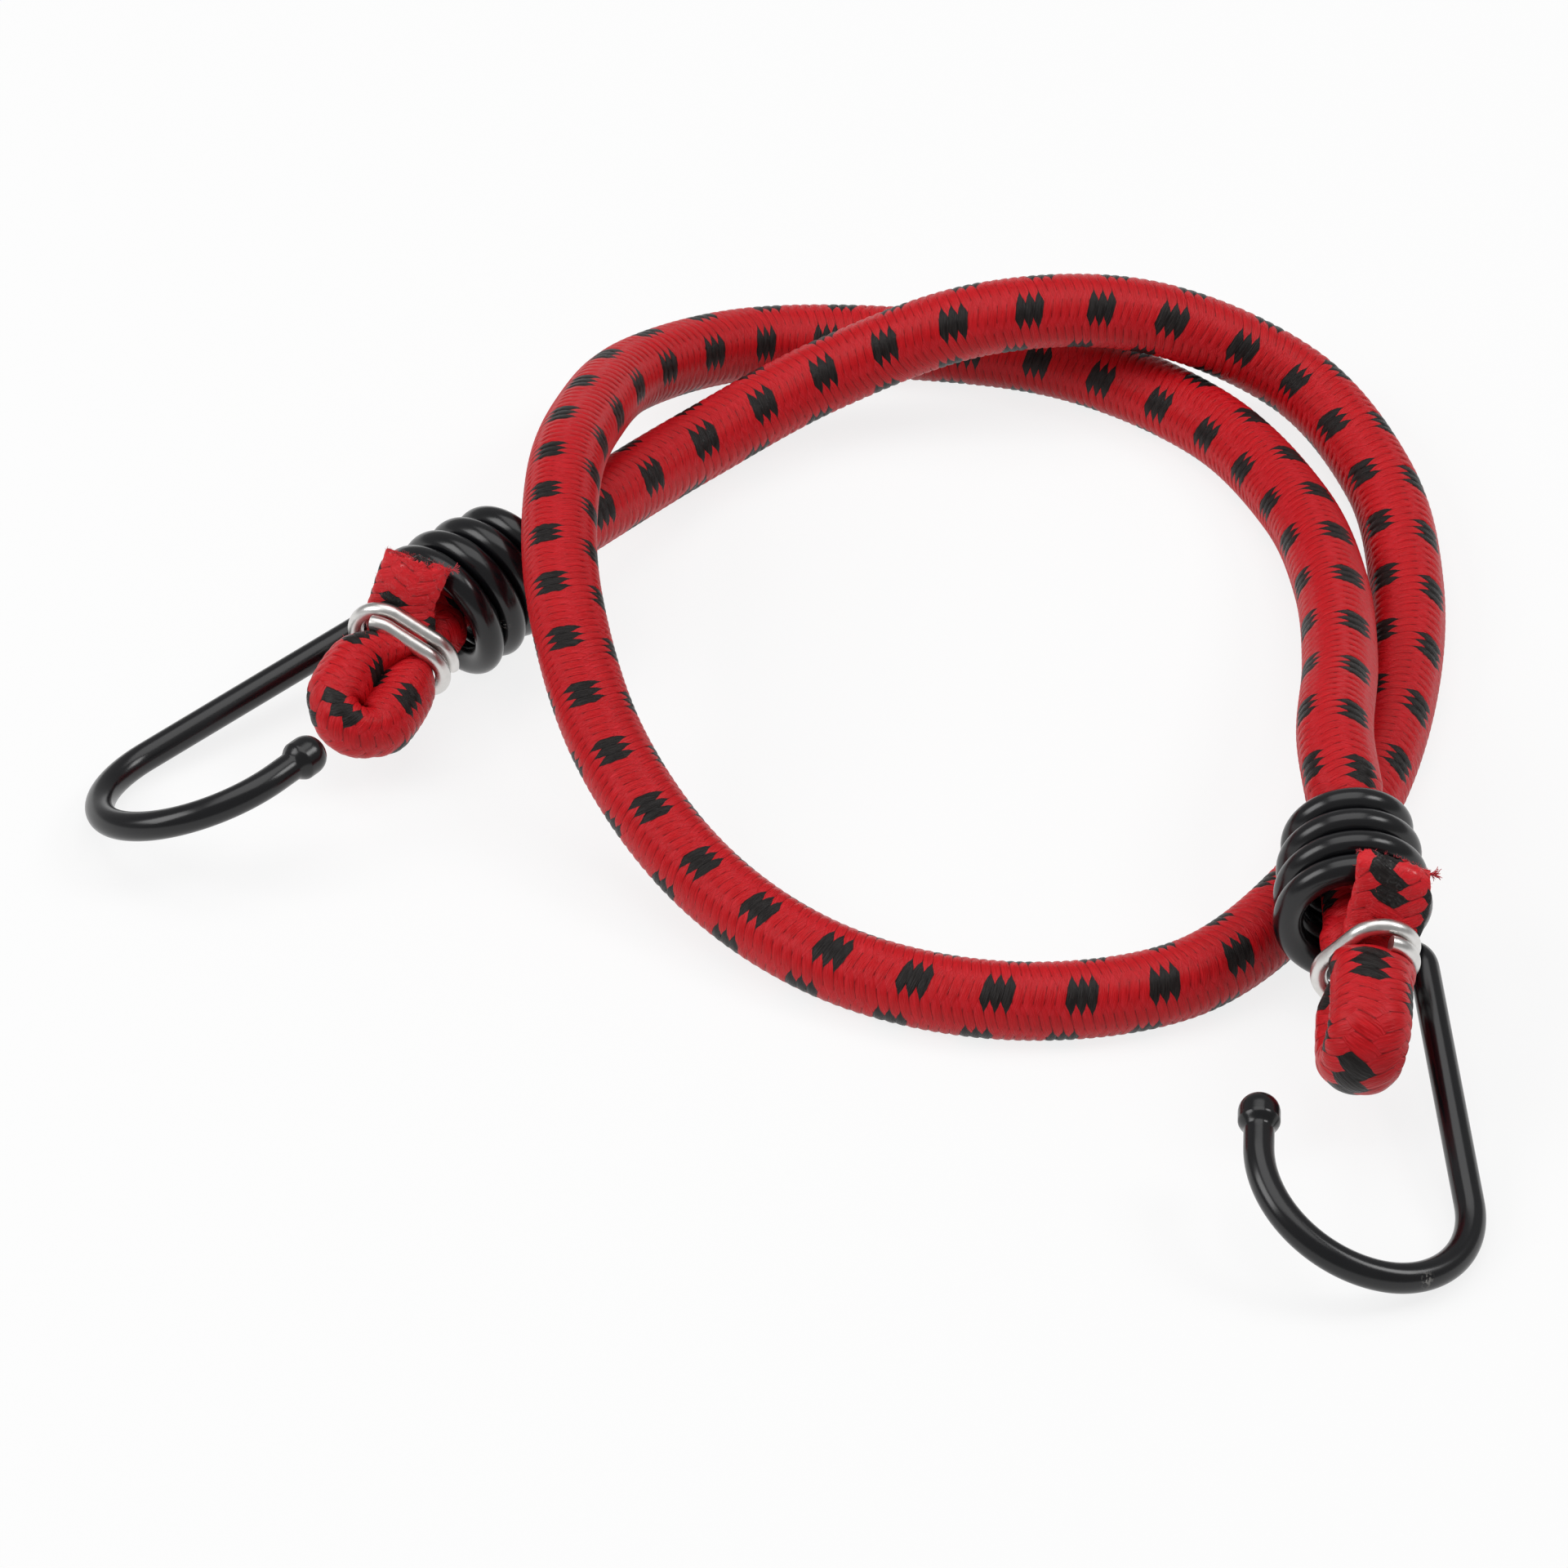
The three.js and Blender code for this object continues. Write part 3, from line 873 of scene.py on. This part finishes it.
def braid_material():
    """Shiny polyester yarns, red with black marks, with painted shade in the gaps between them and a painted
    sheen at their ends, worn and fused near the cuts, where the red is also lighter.
    """
    material, tree, surface = new_material("braid")
    pattern = tree.add("ShaderNodeUVMap", {"uv_map": "braid"})
    worn = tree.add("ShaderNodeAttribute", {"attribute_name": "worn"}, output="Fac")
    braid = weave(tree.part_of(pattern, "X"), tree.part_of(pattern, "Y"))
    on_top = braid["right_on_top"]
    black = (braid["right_yarn"].maths("FLOORED_MODULO", yarns_each_way) < black_yarns) * on_top

    layer = braid["yarn"] * 5.3 + on_top * 31
    lengthwise = tree.joined(braid["across_yarn"] * 9, braid["along_yarn"] * 0.9, layer)
    strands = tree.ranged(tree.noise(lengthwise, 1.0, detail=3.0), *strand_contrast, 0.0, 1.0, way="LINEAR")
    shade = tree.noise(tree.joined(braid["yarn"], braid["along_yarn"] * 0.3, on_top), 0.7)
    red = tree.mixed(strands, red_shade, red_light)
    red = tree.mixed(shade, red, red_even)
    # Painted sheen at the yarns' ends, where they dive under others
    red = tree.mixed((1 - braid["rise"]) * strands * painted_sheen_share, red, red_painted_sheen)
    # Lighter red near the cut ends
    red = tree.mixed(worn * near_cut_lightening, red, red_near_cuts)
    yarn = tree.mixed(black, red, tree.mixed(strands, black_shade, black_light))

    # Painted shade in the seams between the yarns and in the dips of the relief
    off_middle = (braid["across_yarn"] * 2 - 1).maths("ABSOLUTE")
    seam_shade = tree.ranged(off_middle, seam_start, 1.0, 0.0, seam_painted_shade)
    dip = tree.ranged(braid["height"], *dip_heights, dip_painted_shade, 0.0)
    gap_shade = seam_shade.maths("MAXIMUM", dip)
    colour = tree.mixed(gap_shade, yarn, tree.mixed(black, red_gap_shade, black_gap_shade))

    place = tree.add("ShaderNodeTexCoord", output="Object")
    curls = tree.noise(place, curl_scale, distortion=1.5)
    fused = tree.ranged(curls, *fused_above, 0.0, 1.0)
    relief = braid["height"] * 0.6 + strands * 0.3 + fused * worn * 0.2
    surface(
        base_color=colour,
        roughness=0.30 + strands * 0.16,
        normal=tree.bumped(relief, *braid_bump),
        coat_weight=fused * worn * fused_coat,
        coat_roughness=0.12,
        specular_ior_level=0.2,
    )
    return material


def fibre_material():
    """Loose red fibres at the cut ends."""
    material, tree, surface = new_material("loose_fibres")
    place = tree.add("ShaderNodeTexCoord", output="Object")
    colour = tree.mixed(tree.noise(place, fibre_patch_scale), fibre_shade, fibre_light)
    surface(base_color=colour, roughness=0.5)
    return material


def coating_material():
    """Glossy black dipped plastic with a faint unevenness and a few scuffs."""
    material, tree, surface = new_material("black_coating")
    place = tree.add("ShaderNodeTexCoord", output="Object")
    waves = tree.noise(place, coating_wave_scale)
    grain = tree.noise(place, scuff_grain_scale)
    near_scuffs = 0
    for middle, reach in scuffs:
        distance = tree.vector("DISTANCE", place, middle, output="Value")
        near_scuffs = near_scuffs + tree.ranged(distance, 0.0, reach, scuff_strength, 0.0)
    colour = tree.mixed(waves, coating_shade, coating_light)
    surface(
        base_color=tree.mixed(near_scuffs * (grain > 0.5), colour, scuff_colour),
        roughness=0.19 + waves * 0.06,
        normal=tree.bumped(waves, *coating_bump),
        specular_ior_level=0.5,
    )
    return material


def zinc_material():
    """Galvanised wire with brighter and duller patches."""
    material, tree, surface = new_material("zinc")
    place = tree.add("ShaderNodeTexCoord", output="Object")
    patches = tree.noise(place, zinc_patch_scale, detail=3.0)
    scratches = tree.noise(place, zinc_scratch_scale)
    surface(
        base_color=tree.mixed(patches, zinc_shade, zinc_light),
        roughness=0.24 + patches * 0.2,
        metallic=1.0,
        normal=tree.bumped(patches + scratches * 0.3, *zinc_bump),
    )
    return material


def steel_material():
    """Bare drawn steel, seen only at the wire's cut end."""
    material, tree, surface = new_material("drawn_steel")
    place = tree.add("ShaderNodeTexCoord", output="Object")
    lines = tree.noise(place, steel_line_scale, detail=3.0)
    colour = tree.mixed(lines, steel_shade, steel_light)
    surface(base_color=colour, roughness=0.3 + lines * 0.2, metallic=1.0)
    return material


def hook_line():
    """Middle line of one hook in its own frame, from its coil's cut end to its tip, and its bulb's start."""
    end_angle = -math.atan2(neck_radius, coil_mouth)
    share = np.linspace(0, 1, round(coil_turns * coil_steps_per_turn) + 1)
    radius = coil_mouth - coil_flare * (1 - share) ** 2
    angle = end_angle - 2 * math.pi * coil_turns * (1 - share)
    points = list(np.column_stack([radius * np.cos(angle), radius * np.sin(angle), coil_length * share]))
    splay = math.sin(math.radians(shank_splay))
    lean = math.sin(math.radians(shank_lean))
    shank = np.array([splay, lean, math.sqrt(1 - splay**2 - lean**2)])
    inward = unit(np.array([-1, 0, 0]) + shank * shank[0])

    def add_arc(forward, toward, radius, angle, steps):
        start = points[-1]
        for step in range(1, steps + 1):
            turned = angle * step / steps
            ahead = forward * radius * math.sin(turned)
            points.append(start + ahead + toward * radius * (1 - math.cos(turned)))

    def add_straight(forward, length, steps):
        start = points[-1]
        for step in range(1, steps + 1):
            points.append(start + forward * length * step / steps)

    def turned_to(angle):
        return shank * math.cos(math.radians(angle)) + inward * math.sin(math.radians(angle))

    coil_end = np.array([-math.sin(end_angle), math.cos(end_angle), 0])
    neck_side = unit(shank - coil_end * np.dot(shank, coil_end))
    add_arc(coil_end, neck_side, neck_radius, math.acos(np.dot(coil_end, shank)), bend_steps // 3)
    add_straight(shank, shank_length, bend_steps // 2)
    add_arc(shank, inward, bend_radius, math.radians(bend_angle), bend_steps)
    sweep = turned_to(bend_angle)
    add_arc(sweep, turned_to(bend_angle + 90), sweep_radius, math.radians(sweep_angle), bend_steps)
    tip = turned_to(bend_angle + sweep_angle)
    add_straight(tip, tip_straight - bulb_length, bend_steps // 6)
    bulb_start = len(points) - 1
    add_straight(tip, bulb_length, bend_steps)
    return np.array(points), bulb_start


def hook_rows(end):
    """Rows of one hook's coating: the bore at its cut end, the plain wire and the bulb at the tip."""
    points, bulb_start = hook_line()
    share = np.linspace(0, 1, len(points) - bulb_start)
    swell = np.clip(share / bulb_full, 0, 1)
    swell = swell * swell * (3 - 2 * swell)
    into_nose = np.clip((share - bulb_nose) / (1 - bulb_nose), 0, 1)
    nose = np.sqrt(np.clip(1 - into_nose**bulb_nose_power, 0, 1))
    half_width = np.full(len(points), coated_wire / 2)
    half_width[bulb_start:] *= (1 + (bulb_share - 1) * swell) * nose
    rows = rows_of(placed(end, points), half_width)
    bore = chosen_rows(rows, list(bore_steps))
    bore["half_width"] = np.full(len(bore_steps), coating_bore)
    rim = chosen_rows(rows, [0])
    rim["half_width"] = rim["half_width"] - rim_round
    return {name: np.concatenate([bore[name], rim[name], rows[name]]) for name in rows}


def clamp_rows(end):
    """Rows of one clamp: a flattened ring around both strands with overlapping cut ends."""
    along, to_tail = fold_directions(end)
    face = np.cross(along, to_tail)
    bend = squeeze_in_clamp * cord_radius + clamp_fit + clamp_wire / 2
    steps = round(clamp_turns * clamp_steps_per_turn)
    turn = (np.arange(steps + 1) - steps / 2 + 0.5) / clamp_steps_per_turn
    angle = math.radians(end["clamp_seam"] + 180) + 2 * math.pi * turn
    to_side = np.sign(np.cos(angle)) * clamp_half + bend * np.cos(angle)
    points = np.array([0, 0, coil_length]) + end["fold_shift"] * to_tail
    points = points + np.outer(clamp_distance + (clamp_wire + clamp_turn_gap) * turn, along)
    points = points + np.outer(to_side, to_tail) + np.outer(bend * np.sin(angle), face)
    rows = rows_of(placed(end, points), clamp_wire / 2)
    order = np.r_[0, 0, np.arange(len(points)), len(points) - 1, len(points) - 1]
    rows = chosen_rows(rows, order)
    rows["half_width"][[0, -1]] = 0
    rows["half_width"][[1, -2]] *= clamp_cut_share
    return rows


def loose_fibres(rows, cut, inward, tuft):
    """Points, lean and length of the fibres that stand out of one cut and lie about the tail behind it."""
    chance = np.random.default_rng(fibre_seed)
    outside = -inward * np.cross(rows["across"][cut], rows["up"][cut])

    def on_skin(index, angle):
        across = rows["across"][index]
        up = rows["up"][index]
        wide_way = rows["wide_way"][index]
        outward = np.cos(angle)[:, None] * across + np.sin(angle)[:, None] * up
        widened = np.sum(outward * wide_way, axis=1) * rows["spread"][index]
        section = outward + widened[:, None] * wide_way
        from_middle = rows["half_width"][index][:, None] * section + braid_relief * fibre_root * outward
        return rows["at"][index] + from_middle, outward

    rim_points, _ = on_skin(np.full(rim_fibres, cut), chance.uniform(0, 2 * math.pi, rim_fibres))
    rim_lean = outside + chance.normal(0, rim_straying, rim_points.shape)
    rim_size = chance.uniform(*short_fibre, rim_fibres)

    tuft_fibres, tuft_lean = tuft
    tuft_lean = unit(tuft_lean)
    corner = math.atan2(np.dot(tuft_lean, rows["up"][cut]), np.dot(tuft_lean, rows["across"][cut]))
    tuft_points, _ = on_skin(np.full(tuft_fibres, cut), corner + chance.normal(0, tuft_corner, tuft_fibres))
    tuft_lean = tuft_lean + tuft_outside * outside + chance.normal(0, tuft_straying, tuft_points.shape)
    tuft_size = chance.uniform(*tuft_fibre, tuft_fibres)

    fuzz = cut + inward * chance.integers(2, round(fuzz_reach / row_step), fuzz_fibres)
    fuzz_points, fuzz_outward = on_skin(fuzz, chance.uniform(0, 2 * math.pi, fuzz_fibres))
    fuzz_lean = chance.normal(0, fuzz_straying, fuzz_points.shape) - fuzz_press * fuzz_outward
    fuzz_size = chance.uniform(*short_fibre, fuzz_fibres)

    points = np.vstack([rim_points, tuft_points, fuzz_points])
    lean = np.vstack([rim_lean, tuft_lean, fuzz_lean])
    return points, {"lean": lean, "size": np.concatenate([rim_size, tuft_size, fuzz_size])}


def smoothed(values, reach):
    """Values along equal steps, each the mean of those within its reach."""
    reach = round(reach / row_step)
    padded = np.concatenate([
        2 * values[0] - values[reach:0:-1],
        values,
        2 * values[-1] - values[-2:-reach - 2:-1],
    ])
    return np.convolve(padded, np.ones(2 * reach + 1) / (2 * reach + 1), "valid")


def sheath_rows():
    """Rows of the whole sheath from cut end to cut end, and their distances from the route's first point."""
    line = cord_line()
    points = line.pop("at")
    distance = line.pop("distance")
    from_cut = np.minimum(distance, distance[-1] - distance)
    ragged = cut_raggedness * np.exp(-from_cut / ragged_reach)
    worn = np.exp(-(from_cut / worn_reach) ** 2)
    distance = distance - distance[nearest_row(points, 0)]
    turns = smoothed(np.interp(distance, *np.array(turns_along).T), turns_smoothing)
    twist = smoothed(np.interp(distance, *np.array(twist_along).T), twist_smoothing) / 360
    half_width = line.pop("half_width") - braid_relief * relief_inside
    first = nearest_row(points, seam_points[0])
    braid = {"lay": turns, "twist": twist, "braided": 1.0, "ragged": ragged, "worn": worn}
    rows = rows_of(points, half_width, first, **braid, **line)
    return rows, distance


def add_sheath(finish):
    """The braided sheath in three pieces: the two ends and the middle."""
    rows, distance = sheath_rows()
    points = rows["at"]
    seams = [0, *(nearest_row(points, number) for number in seam_points), len(points) - 1]
    inner = round(cut_depth / row_step)
    into_cut = np.array([inner, inner // 2, 0])

    def inside_cut(chosen):
        inside = chosen_rows(rows, chosen)
        inside["half_width"] = inside["half_width"] - sheath_wall
        return inside

    pieces = []
    paths = []
    lengths = []
    for number, name in enumerate(("sheath_end_1", "sheath_middle", "sheath_end_2")):
        chosen = np.arange(seams[number], seams[number + 1] + 1)
        piece_rows = [chosen_rows(rows, chosen)]
        if number == 0:
            piece_rows.insert(0, inside_cut(into_cut))
        if number == 2:
            piece_rows.append(inside_cut(len(points) - 1 - into_cut[::-1]))
        joined = {key: np.concatenate([part[key] for part in piece_rows]) for key in rows}
        pieces.append(add_skin(name, joined, sheath_sides, braid_relief, finish))
        paths.append(points[chosen[::rows_per_path_point]].tolist() + [points[chosen[-1]].tolist()])
        lengths.append(distance[chosen[-1]] - distance[chosen[0]])
    return rows, pieces, paths, lengths


def add_floor():
    """A pale floor that looks white to the camera and keeps a soft shadow."""
    mesh = bpy.data.meshes.new("floor")
    signs = ((-1, -1), (1, -1), (1, 1), (-1, 1))
    corners = [(x * floor_half, y * floor_half, floor_height) for x, y in signs]
    mesh.from_pydata(corners, [], [(0, 1, 2, 3)])
    floor = bpy.data.objects.new("floor", mesh)
    bpy.context.scene.collection.objects.link(floor)
    material = bpy.data.materials.new("pale_floor")
    material.use_nodes = True
    material.node_tree.nodes.clear()
    tree = Tree(material.node_tree)
    paper = tree.add("ShaderNodeBsdfDiffuse", {}, {"Color": paper_colour})
    glow = tree.add("ShaderNodeEmission", {}, {"Color": plain_white, "Strength": 1.0})
    seen = tree.add("ShaderNodeLightPath", output="Is Camera Ray")
    mirrored = tree.add("ShaderNodeLightPath", output="Is Glossy Ray")
    through = tree.add("ShaderNodeLightPath", output="Is Transmission Ray")
    share = seen.maths("MAXIMUM", mirrored).maths("MAXIMUM", through) * floor_whiteness
    both = tree.add("ShaderNodeMixShader", {}, {0: share, 1: paper, 2: glow})
    tree.add("ShaderNodeOutputMaterial", {}, {"Surface": both})
    mesh.materials.append(material)


def add_light():
    """A plain world and the softboxes."""
    world = bpy.data.worlds.new("studio")
    bpy.context.scene.world = world
    world.use_nodes = True
    world.node_tree.nodes.clear()
    tree = Tree(world.node_tree)
    strength = world_light + tree.add("ShaderNodeLightPath", output="Is Camera Ray") * world_seen
    light = tree.add("ShaderNodeBackground", {}, {"Color": plain_white, "Strength": strength})
    tree.add("ShaderNodeOutputWorld", {}, {"Surface": light})
    for name, place, size, power in softboxes:
        lamp = bpy.data.lights.new(name, "AREA")
        lamp.shape = "SQUARE"
        lamp.size = size
        lamp.energy = power
        add_aimed(name, lamp, place, (0, 0, 0))


add_camera()
skin_nodes = tube_tree()
fibre_nodes = fibre_tree()
cord_rows, sheath, paths, lengths = add_sheath(braid_material())
threads = [f"rubber_thread_{number}" for number in range(1, core_threads + 1)]
for piece in sheath:
    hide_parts("braided_sheath", *threads)
end_1, middle, end_2 = sheath
tuple(hook_frame(ends[0])[0])
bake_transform(end_1)
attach(middle, "cord")
tuple(hook_frame(ends[1])[0])
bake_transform(end_2)

loose = fibre_material()
for end, cut, inward in zip(ends, (0, len(cord_rows["at"]) - 1), (1, -1)):
    points, attributes = loose_fibres(cord_rows, cut, inward, end["tuft"])
    frays = grow(f"frays_{end['name']}", fibre_nodes, points, attributes, (fibre_thickness, loose))
    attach(frays, f"end_{end['name']}")
    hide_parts("braided_sheath")

coating = coating_material()
zinc = zinc_material()
steel = steel_material()
for end in ends:
    number = end["name"]
    hook = add_skin(f"hook_{number}_dipped", hook_rows(end), wire_sides, 0.0, coating, hook_sharp_angle)
    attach(hook, f"hook_{number}")
    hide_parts(f"hook_{number}_coating")
    ring = add_skin(f"clamp_{number}_ring", clamp_rows(end), wire_sides, 0.0, zinc, clamp_sharp_angle)
    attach(ring, f"end_{number}")
    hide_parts(f"clamp_{number}")
    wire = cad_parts[f"hook_{number}_wire"]
    wire.data.materials.clear()
    wire.data.materials.append(steel)

add_floor()
add_light()

bpy.context.scene.view_settings.view_transform = "Standard"
